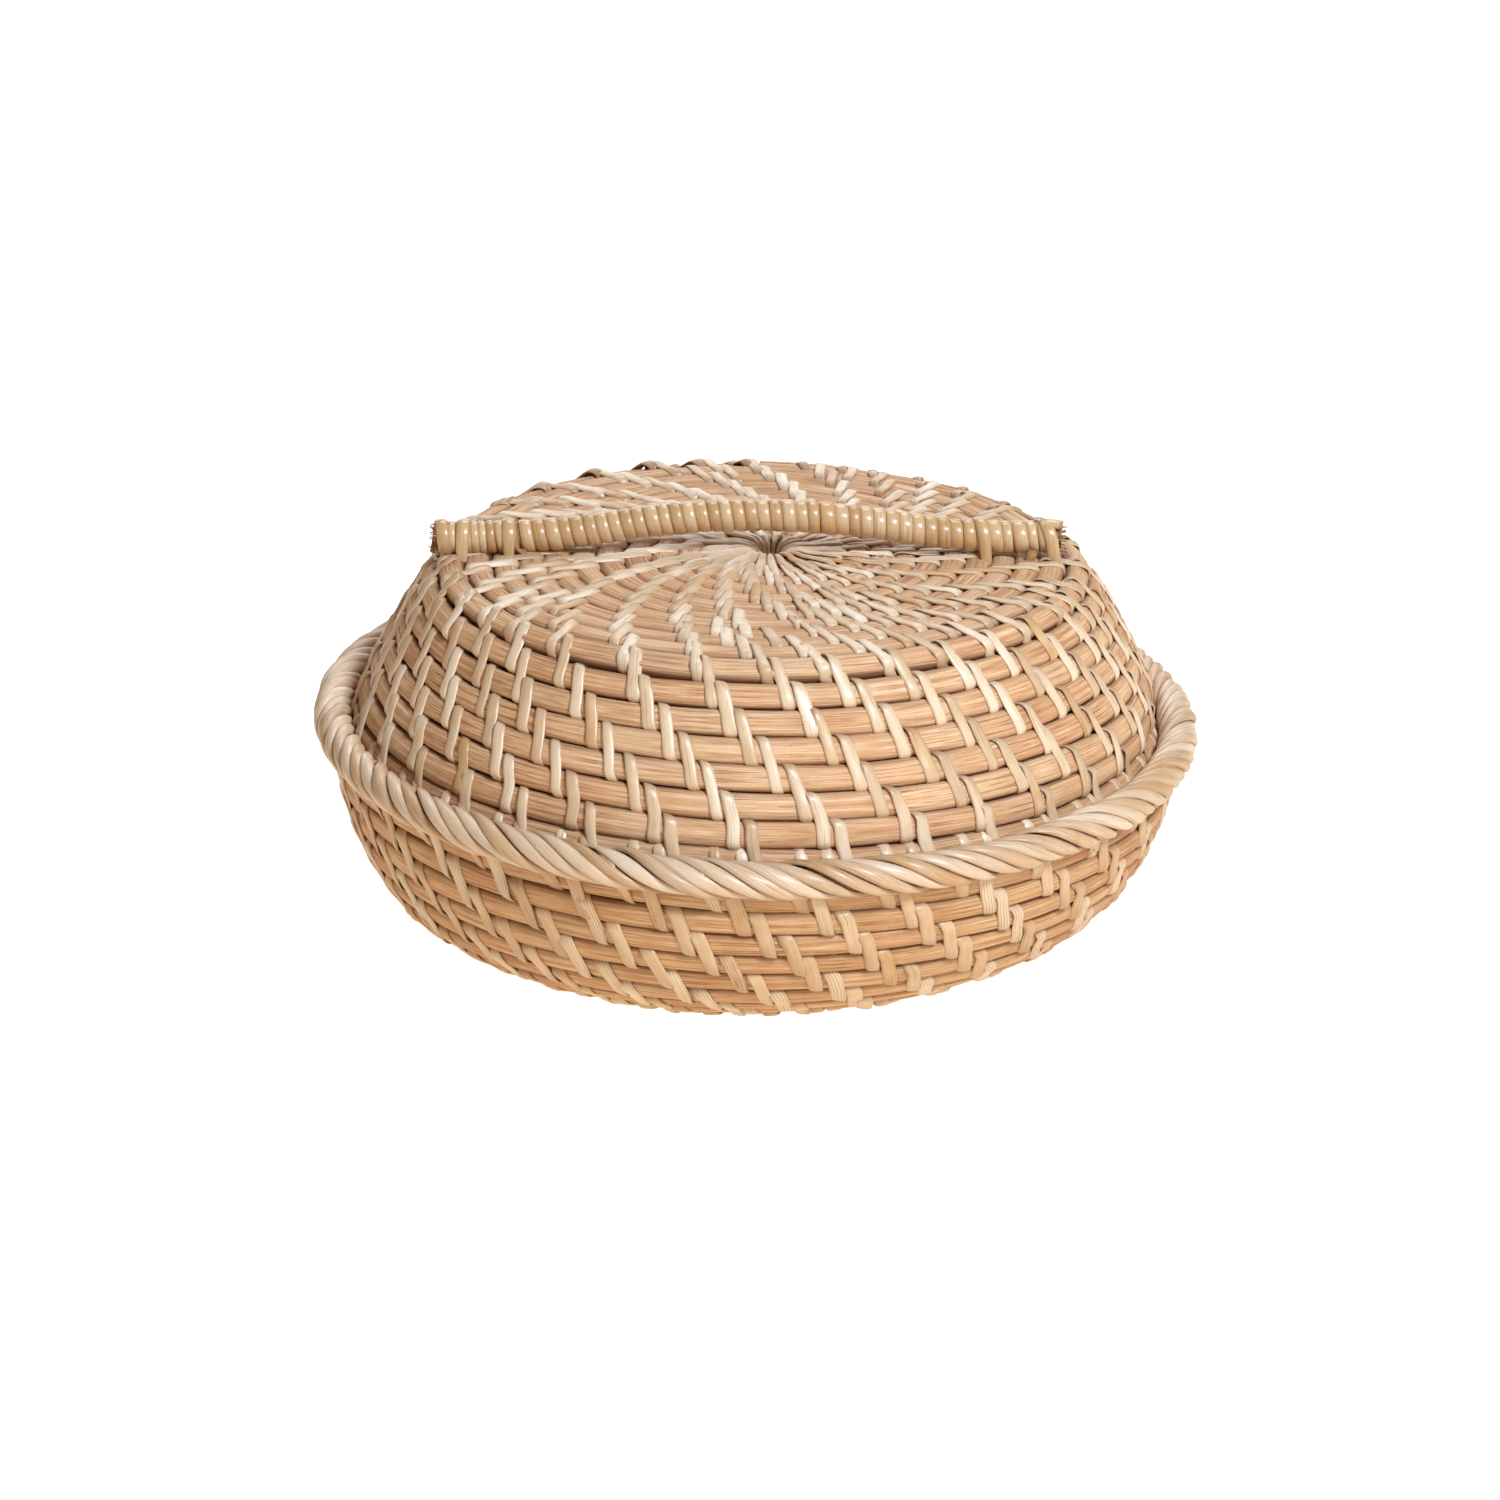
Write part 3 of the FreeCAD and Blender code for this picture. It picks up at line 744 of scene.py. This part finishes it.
def rim_meshes():
    acc = Acc()
    n, sides = 260, 16
    th = np.linspace(0, TAU, n + 1)
    a = np.arange(sides) / sides * TAU
    R = 4.1
    vr = RIM[0] + R * np.cos(a)[None] * np.ones((n + 1, 1))
    vz = RIM[1] + R * np.sin(a)[None] * np.ones((n + 1, 1))
    V = np.stack([vr * np.cos(th)[:, None], vr * np.sin(th)[:, None], vz], -1)[None]
    UV = np.zeros(V.shape[:3] + (2,))
    UV[..., 0] = (th * RIM[0])[None, :, None]
    UV[..., 1] = (np.abs(a - math.pi) * R)[None, None]
    A = np.zeros(V.shape[:3] + (4,))
    A[..., 0] = 0.4
    # painted shade over the whole rim core, which lies under the wraps
    A[..., 2] = 0.8
    A[..., 3] = 1
    acc.grid(V, UV, A, caps=False)
    # three strips to each tie: one stands proud and runs on into the tie, the
    # two between it and the next lie under it
    wr = Acc()
    K = 34
    t = np.linspace(0, 1, K)
    th0, lead = [], []
    usual = float(np.median(gaps))
    before = np.roll(gaps, 1)
    for p, g in zip(tie_phi, before):
        m = max(3, int(round(3 * g / usual)))
        for k in range(m):
            th0.append(float(base.theta(p - g * k / m)))
            lead.append(1.0 if k == 0 else 0.0)
    th0, lead = np.array(th0), np.array(lead)
    M = len(th0)
    beta = math.radians(27.5)
    a0, a1 = math.radians(228), math.radians(-96)
    al = a0 + (a1 - a0) * t[None] * np.ones((M, 1))
    al_tie = math.radians(-58)
    rho = 4.22
    along = (a0 - al) * (rho + 0.3) / math.tan(beta)
    ref = (a0 - al_tie) * (rho + 0.3) / math.tan(beta)
    th = (th0 + rng.normal(0, 0.004, M))[:, None] + (along - ref) / RIM[0]
    th = th + rng.normal(0, 0.012, M)[:, None] * (t[None] - 0.5)
    th = th + (rng.normal(0, 0.0035, M))[:, None] * np.sin(2 * np.pi * t)[None]
    lev = 0.50 * lead[:, None] + 0.22 * rng.uniform(-1, 1, M)[:, None]
    rr = rho + lev * np.sin(np.pi * np.clip(t, 0, 1))[None] + 0.10 * np.sin(np.pi * t)[None]
    r = RIM[0] + rr * np.cos(al)
    z = RIM[1] + rr * np.sin(al)
    P = np.stack([r * np.cos(th), r * np.sin(th), z], -1)
    N = np.stack([np.cos(al) * np.cos(th), np.cos(al) * np.sin(th), np.sin(al)], -1)
    taper = np.interp(t, [0, 0.12, 0.35, 0.62, 0.80, 0.92, 1], [0.62, 0.8, 1, 1, 0.80, 0.52, 0.40])
    taper_l = np.interp(t, [0, 0.12, 0.35, 0.62, 0.80, 0.92, 1], [0.62, 0.8, 1, 1, 0.95, 0.80, 0.72])
    w = 4.35 * (taper[None] * (1 - lead[:, None]) + taper_l[None] * lead[:, None]) * (1 + rng.normal(0, 0.07, M))[:, None]
    roll = np.radians(11 + rng.normal(0, 3.0, M))[:, None] * np.ones((1, K))
    # painted shade at both ends of each strip, where it tucks under, and a stronger painted edge shade
    painted_shade = 0.8 * np.clip(1 - smooth(0.03, 0.2, t) + smooth(0.82, 0.98, t), 0, 1)[None] * np.ones((M, 1))
    ribbon(wr, P, N, w, 1.75 * (1 + rng.normal(0, 0.10, M))[:, None], tones(M), lift=-0.15, roll=TWIST * roll, painted_shade=painted_shade, sect=ROUND, edge=1.2)
    return acc, wr


rim_c, rim_w = rim_meshes()
rim_c.build("rim_core_rod", warp_base, MAT_CORE_BASE, "base", ["rim_core"], slot="rattan_core")
rim_w.build("rim_wrap_strips", warp_base, MAT_RIM, "base", ["rim_wrap"], slot="cane_strip")

# ----------------------------------------------------------------------- lid
lid_top_nodes = ["lid_top_coil"] + ["lid_coil_%02d" % i for i in (1, 2)]
lid_side_nodes = ["lid_coil_%02d" % i for i in range(3, 11)]
core_mesh(lid, -8.4, 2.5).build("lid_core_top", warp_lid, MAT_CORE, "lid", lid_top_nodes, slot="rattan_core")
core_mesh(lid, 2.5, 10.58).build("lid_core_side", warp_lid, MAT_CORE, "lid", lid_side_nodes, slot="rattan_core")
U_ROS_L = -6.25
allphi, n_rays = stitch_angles(lid, U_ROS_L - 1.0, 10.50)
ray_phi, phi = allphi[:n_rays], allphi[n_rays:]
rays(lid, ray_phi).build("lid_rosette_rays", warp_lid, MAT_STRIP, "lid", ["lid_rosette"], slot="cane_strip")
cut = np.searchsorted(phi, 3.0 * TAU)
stitches(lid, phi[:cut]).build("lid_stitches_top", warp_lid, MAT_STRIP, "lid",
                               ["lid_stitching_top_outside", "lid_stitching_top_inside"], slot="cane_strip")
cut2 = np.searchsorted(phi, 7.0 * TAU)
stitches(lid, phi[cut:cut2]).build("lid_stitches_side", warp_lid, MAT_STRIP, "lid",
                                   ["lid_stitching_side_outside"], slot="cane_strip")
stitches(lid, phi[cut2:]).build("lid_stitches_side_low", warp_lid, MAT_STRIP, "lid",
                                ["lid_stitching_side_inside"], slot="cane_strip")
last = phi[phi > 9.55 * TAU]
step = np.diff(last).mean()
short = np.sort(np.concatenate([last + step * (0.30 + 1 / 3.0), last + step * (0.30 + 2 / 3.0)]))
short = short[short < 10.54 * TAU]
loops(lid, short, 3.9, 0.95, lean=2.6).build("lid_edge_wraps", warp_lid, MAT_STRIP, "lid", ["lid_edge_binding"], slot="cane_strip")

# -------------------------------------------------------------------- handle
H_END = 112.25 + 4.45 + 3.85 + 0.02 + 0.72 + 0.03
BOW_H, BOW_R, BOW_RISE = 85.0, 265.0, 7.2
AL = 2 * math.atan(BOW_RISE / BOW_H)
R_SUM = BOW_H / math.sin(AL)
R2 = R_SUM - BOW_R
JX = BOW_R * math.sin(AL)


def hz(x):
    x = np.abs(x)
    a = H_END + BOW_RISE - BOW_R + np.sqrt(np.maximum(BOW_R ** 2 - x * x, 0))
    d = BOW_H - x
    b = H_END + R2 - np.sqrt(np.maximum(R2 ** 2 - d * d, 0))
    return np.where(x <= JX, a, np.where(x <= BOW_H, b, H_END))


def handle_rod(x0, x1, rad, n=90, sides=20, end_noise=0.0):
    acc = Acc()
    x = np.linspace(x0, x1, n)
    z = hz(x)
    dz = np.gradient(z, x)
    L = np.hypot(1, dz)
    tx, tz = 1 / L, dz / L
    a = np.arange(sides) / sides * TAU
    R = rad * (1 + 0.02 * np.sin(3 * a + 0.5))[None] * np.ones((n, 1))
    X = x[:, None] - tz[:, None] * R * np.sin(a)[None]
    Z = z[:, None] + tx[:, None] * R * np.sin(a)[None]
    Y = R * np.cos(a)[None]
    if end_noise:
        j = rng.normal(0, end_noise, sides)
        X[0] += j
        X[-1] += rng.normal(0, end_noise, sides)
    V = np.stack([X, Y, Z], -1)[None]
    UV = np.zeros(V.shape[:3] + (2,))
    UV[..., 0] = x[None, :, None]
    UV[..., 1] = (np.abs(a - math.pi) * rad)[None, None]
    A = np.zeros(V.shape[:3] + (4,))
    A[..., 0] = 0.5
    A[..., 3] = 1
    acc.grid(V, UV, A)
    return acc


def helix(x0, x1, pitch, width, rad, thick, rough=0.03):
    acc = Acc()
    segs = 24
    T = max(1, int(round((x1 - x0) / pitch)))
    t = np.linspace(0, 1, segs + 1)
    step = np.maximum(0.4, 1 + rng.normal(0, 2.2 * rough, T))
    edge = np.concatenate([[0], np.cumsum(step)]) / step.sum() * (x1 - x0)
    mid = 0.5 * (edge[1:] + edge[:-1])
    wd = np.diff(edge) * width / pitch * (x1 - x0) / (T * pitch) / ((x1 - x0) / (T * pitch))
    # each turn starts and ends underneath, where it can't be seen
    xs = x0 + mid[:, None] + (t[None] - 0.5) * np.diff(edge)[:, None] * 0.9
    a = TAU * t[None] * np.ones((T, 1)) - math.pi * 0.5
    z = hz(xs)
    dz = (hz(xs + 0.5) - hz(xs - 0.5))
    L = np.hypot(1, dz)
    tx, tz = 1 / L, dz / L
    nx, ny, nz = -tz * np.sin(a), np.cos(a), tx * np.sin(a)
    R = rad + rng.normal(0, 0.05, T)[:, None]
    P = np.stack([xs + nx * R, ny * R, z + nz * R], -1)
    N = np.stack([nx, ny, nz], -1)
    w = wd[:, None] * np.ones((1, segs + 1))
    th = thick * (1 + rng.normal(0, 0.10, T))[:, None] * np.ones((1, segs + 1))
    # stronger painted edge shade along each wrap
    ribbon(acc, P, N, w, th, tones(T), lift=0.0, sect=CANE, edge=1.2)
    return acc


CANE = np.array([(-1.0, 0.0), (-0.98, 0.42), (-0.74, 0.80), (-0.3, 0.97), (0.3, 0.97),
                 (0.74, 0.80), (0.98, 0.42), (1.0, 0.0)])
HR = 4.15
handle_rod(-100.6, 96.6, HR, end_noise=0.5).build("handle_rod", None, MAT_CORE_DARK, "lid", ["handle_core"], slot="rattan_core")
helix(-101.0, -96.9, 4.1, 4.3, HR + 0.25, 1.15, 0.0).build("handle_cane_first", None, MAT_HANDLE, "lid", [], slot="handle_cane")
helix(-97.0, -75.4, 3.1, 3.2, HR + 0.05, 0.98, 0.14).build("handle_cane_left", None, MAT_HANDLE, "lid", ["handle_wrap_left"], slot="handle_cane")
helix(-74.6, 72.6, 3.95, 4.05, HR, 1.0, 0.03).build("handle_cane_bow", None, MAT_HANDLE, "lid", ["handle_wrap_bow"], slot="handle_cane")
helix(72.8, 93.0, 4.05, 4.1, HR + 0.05, 0.95, 0.06).build("handle_cane_right", None, MAT_HANDLE, "lid", ["handle_wrap_right"], slot="handle_cane")


def lashing(x, slant, spread, low=108.5):
    """A cane loop over the handle and down through the lid. It crosses the top
    at x and comes down the front slant mm further on."""
    zc = float(hz(np.array(x)))
    rad = HR + 0.82
    pts, nrm = [], []
    for k in range(7):
        f = k / 7
        pts.append((x + slant * (1 - 0.45 * f), -(rad + 0.1 + spread * (1 - f)), low + (zc - low) * f))
        nrm.append((0, -1, 0))
    for k in range(13):
        a = math.radians(180 - 15 * k)
        pts.append((x + slant * 0.55 * (1 - k / 6), rad * math.cos(a), zc + rad * math.sin(a)))
        nrm.append((0, math.cos(a), math.sin(a)))
    for k in range(1, 8):
        f = k / 7
        pts.append((x - slant * (0.55 + 0.45 * f), rad + 0.1 + spread * f, zc + (low - zc) * f))
        nrm.append((0, 1, 0))
    return np.array(pts), np.array(nrm)


for i, (x, sl, sp, tip) in enumerate([(-91.9, -0.8, 0.5, 0.66), (-77.8, 0.2, 0.4, 0.5),
                                      (71.2, 2.5, 0.6, 0.66), (91.4, 4.2, 0.9, 0.9)]):
    p, n = lashing(x, sl, sp)
    acc = Acc()
    K = len(p)
    e = np.clip(np.minimum(np.arange(K), np.arange(K)[::-1]) / 8.0, 0, 1)
    w = 4.3 * (tip + (1 - tip) * e)[None]
    ribbon(acc, p[None], n[None], w, 0.95, tones(1) * 0.4 + 0.3, lift=0.0, sect=ROUND)
    acc.build("handle_tie_%02d" % (i + 1), None, MAT_HANDLE, "lid", ["handle_lashing_%02d" % (i + 1)], slot="handle_cane")


# ------------------------------------------------------- loose ends and fibres
def hair(acc, pts, r0, r1, tone):
    """A thin fibre along a polyline of points."""
    p = np.array(pts, float)
    k = len(p)
    t = np.gradient(p, axis=0)
    t /= np.linalg.norm(t, axis=1)[:, None] + 1e-9
    u = np.cross(t, [0.31, 0.52, 0.79])
    u /= np.linalg.norm(u, axis=1)[:, None]
    w = np.cross(t, u)
    a = np.arange(5) / 5 * TAU
    R = np.linspace(r0, r1, k)[:, None, None]
    V = p[:, None] + R * (np.cos(a)[None, :, None] * u[:, None] + np.sin(a)[None, :, None] * w[:, None])
    UV = np.zeros((1, k, 5, 2))
    UV[..., 0] = np.arange(k)[None, :, None] + tone * 90
    UV[..., 1] = np.arange(5)[None, None] * 0.2
    A = np.zeros((1, k, 5, 4))
    A[..., 0] = tone
    A[..., 3] = 1
    acc.grid(V[None], UV, A)


def curl(start, d, length, bend, n=6):
    d = np.array(d, float)
    d /= np.linalg.norm(d)
    b = np.array(bend, float)
    t = np.linspace(0, 1, n)[:, None]
    return np.array(start) + d * length * t + b * length * t * t


# frayed left end of the handle, and the rough cut right end
fr = Acc()
for k in range(34):
    a = rng.uniform(0, TAU)
    q = math.sqrt(rng.uniform(0.05, 1)) * 4.3
    p0 = (-99.9, q * math.cos(a), H_END + q * math.sin(a))
    hair(fr, curl(p0, (-1, 0.35 * math.cos(a) + rng.normal(0, 0.3), 0.35 * math.sin(a) + rng.normal(0, 0.3)),
                  rng.uniform(1.2, 3.2), rng.normal(0, 0.25, 3)), rng.uniform(0.3, 0.6), 0.16, rng.uniform(0, 1))
for k in range(40):
    a = rng.uniform(0, TAU)
    q = math.sqrt(rng.uniform(0.05, 1)) * 4.2
    p0 = (93.5, q * math.cos(a), H_END - 0.4 + q * math.sin(a))
    hair(fr, curl(p0, (1, 0.12 * math.cos(a) + rng.normal(0, 0.1), 0.12 * math.sin(a) + rng.normal(0, 0.1)),
                  rng.uniform(3.0, 5.2), rng.normal(0, 0.12, 3)), rng.uniform(0.35, 0.7), 0.25, rng.uniform(0, 1))
fr.build("handle_end_fibres", None, MAT_CORE_BASE, "lid", [], slot="rattan_core")

st = Acc()
e = np.array([[(90.5, -0.8, H_END + 4.3), (93.0, -1.0, H_END + 4.4), (95.5, -1.3, H_END + 4.2), (97.2, -1.6, H_END + 4.0)]])
ribbon(st, e, np.array([[(0, -0.25, 1.0)] * 4]), 4.6, 1.5, tones(1) * 0.3 + 0.4, lift=0.0)
e = np.array([[(86.6, -4.6, 114.8), (87.0, -5.6, 116.2), (87.6, -6.0, 118.0), (88.3, -5.9, 119.6)]])
ribbon(st, e, np.array([[(0, -1, 0.3)] * 4]), np.array([[2.2, 3.0, 3.3, 3.0]]), 1.0, np.array([[0.2, 0.9]]), lift=0.0)
st.build("handle_loose_ends", None, MAT_HANDLE, "lid", [], slot="handle_cane")


def on_base(th_deg, z, out=0.0):
    """A point on the outside of the base wall, before the hand-made warp."""
    th = math.radians(th_deg)
    zz = np.array([q[1] for q in BASE_ROWS])
    rr = np.array([q[0] for q in BASE_ROWS])
    r = float(np.interp(z, zz, rr)) + CORE_R + out
    return np.array([r * math.cos(th), r * math.sin(th), z])


def on_lid(th_deg, z, out=0.0):
    th = math.radians(th_deg)
    zz = np.array([q[1] for q in LID_ROWS])[::-1]
    rr = np.array([q[0] for q in LID_ROWS])[::-1]
    r = float(np.interp(z, zz, rr)) + CORE_R + out
    return np.array([r * math.cos(th), r * math.sin(th), z])


# a frayed splice under the rim, front right
kn = Acc()
c = on_base(-40.0, 57.0, 0.1)
for k in range(26):
    th = math.radians(-40)
    o = np.array([math.cos(th), math.sin(th), 0])
    sd = np.array([-math.sin(th), math.cos(th), 0])
    d = o * rng.uniform(0.2, 0.7) + sd * rng.normal(0, 0.9) + np.array([0, 0, rng.normal(0, 0.9)])
    hair(kn, curl(c + sd * rng.normal(0, 1.4) + np.array([0, 0, rng.normal(0, 1.0)]), d, rng.uniform(1.6, 4.2),
                  -o * 0.45 + rng.normal(0, 0.35, 3)), rng.uniform(0.14, 0.30), 0.08, rng.uniform(0, 1))
# stray fibres lifting off the coils
for k in range(150):
    thd, zz = rng.uniform(0, 360), rng.uniform(9, 58)
    p0 = on_base(thd, zz, -0.25)
    th = math.radians(thd)
    o = np.array([math.cos(th), math.sin(th), 0])
    sd = np.array([-math.sin(th), math.cos(th), 0]) * (1 if rng.uniform() < 0.5 else -1)
    hair(kn, curl(p0, sd + o * rng.uniform(0.05, 0.28) + np.array([0, 0, rng.normal(0, 0.12)]), rng.uniform(1.5, 5.0),
                  o * rng.uniform(-0.1, 0.12) + np.array([0, 0, rng.normal(0, 0.12)])), rng.uniform(0.06, 0.13), 0.03, rng.uniform(0, 1))
kn.build("base_fibres", warp_base, MAT_CORE_BASE, "base", [], slot="rattan_core")
lf = Acc()
for k in range(170):
    thd, zz = rng.uniform(0, 360), rng.uniform(66, 112)
    p0 = on_lid(thd, zz, -0.25)
    th = math.radians(thd)
    o = np.array([math.cos(th), math.sin(th), 0.25])
    sd = np.array([-math.sin(th), math.cos(th), 0]) * (1 if rng.uniform() < 0.5 else -1)
    hair(lf, curl(p0, sd + o * rng.uniform(0.05, 0.28) + np.array([0, 0, rng.normal(0, 0.12)]), rng.uniform(1.5, 4.5),
                  o * rng.uniform(-0.1, 0.12) + np.array([0, 0, rng.normal(0, 0.12)])), rng.uniform(0.06, 0.12), 0.03, rng.uniform(0, 1))
# dark hanging fibres where the handle's winding starts
for k in range(5):
    x = rng.uniform(-75.5, -72.5)
    hair(lf, curl((x, -4.2, H_END - 2.6), (rng.uniform(0.2, 0.9), -0.35, -1), rng.uniform(2.5, 4.5), (0.35, 0, 0.1)),
         0.22, 0.08, rng.uniform(0, 1))
lf.build("lid_fibres", None, MAT_CORE, "lid", [], slot="rattan_core")

# ------------------------------------------------------------ stage and light
bpy.ops.mesh.primitive_plane_add(size=14.0, location=(0, 3.0, -0.0008))
floor = bpy.context.object
floor.name = "stage_floor"
fm = bpy.data.materials.new("stage_white")
nt, bs = nodes_of(fm)
bs.inputs["Base Color"].default_value = (0.40, 0.40, 0.40, 1)
bs.inputs["Roughness"].default_value = 0.9
bs.inputs["Specular IOR Level"].default_value = 0.0
bs.inputs["Emission Strength"].default_value = 0.97
# the camera sees white, the basket gets a warm bounce
seen = nt.nodes.new("ShaderNodeLightPath")
warmth = nt.nodes.new("ShaderNodeMix")
warmth.data_type = "RGBA"
warmth.inputs[6].default_value = (1.0, 0.83, 0.60, 1)
warmth.inputs[7].default_value = (1, 1, 1, 1)
nt.links.new(seen.outputs["Is Camera Ray"], warmth.inputs[0])
nt.links.new(warmth.outputs[2], bs.inputs["Emission Color"])
floor.data.materials.append(fm)

world = bpy.data.worlds.new("studio")
bpy.context.scene.world = world
world.use_nodes = True
bg = world.node_tree.nodes["Background"]
bg.inputs[0].default_value = (1.0, 0.64, 0.38, 1)
bg.inputs[1].default_value = 0.15


def area(name, loc, target, size, power, col=(1, 1, 1)):
    d = bpy.data.lights.new(name, "AREA")
    d.shape = "RECTANGLE"
    d.size, d.size_y = size
    d.energy = power
    d.color = col
    o = bpy.data.objects.new(name, d)
    bpy.context.scene.collection.objects.link(o)
    o.location = loc
    v = Vector(target) - Vector(loc)
    o.rotation_euler = v.to_track_quat("-Z", "Y").to_euler()
    return o


area("key", (0.78, -1.12, 1.48), (0, 0, 0.07), (0.5, 0.5), 36, (0.95, 1.065, 1.20))
area("fill", (0.45, -1.75, 0.50), (0, 0, 0.08), (0.9, 0.5), 3.2, (0.95, 1.05, 1.15))
area("rear", (0.1, 1.3, 1.7), (0, 0, 0.06), (0.9, 0.7), 12)
area("rim_back", (-0.2, 1.7, 0.55), (0, 0, 0.09), (1.4, 0.6), 6)

bpy.context.scene.view_settings.view_transform = "Standard"
bpy.context.scene.view_settings.look = "None"

# -------------------------------------------------------------------- camera
ELEV = math.radians(21.15)
DIST = 1.6
cam_d = bpy.data.cameras.new("camera")
cam = bpy.data.objects.new("camera", cam_d)
bpy.context.scene.collection.objects.link(cam)
cam_d.sensor_fit = "HORIZONTAL"
cam_d.sensor_width = 36.0
cam_d.lens = 4976.0 / 1500.0 * 36.0
cam.location = (-0.0015, -DIST * math.cos(ELEV), 0.049 + DIST * math.sin(ELEV))
cam.rotation_euler = (math.pi / 2 - ELEV, 0, 0)
cam_d.clip_start, cam_d.clip_end = 0.05, 60
bpy.context.scene.camera = cam
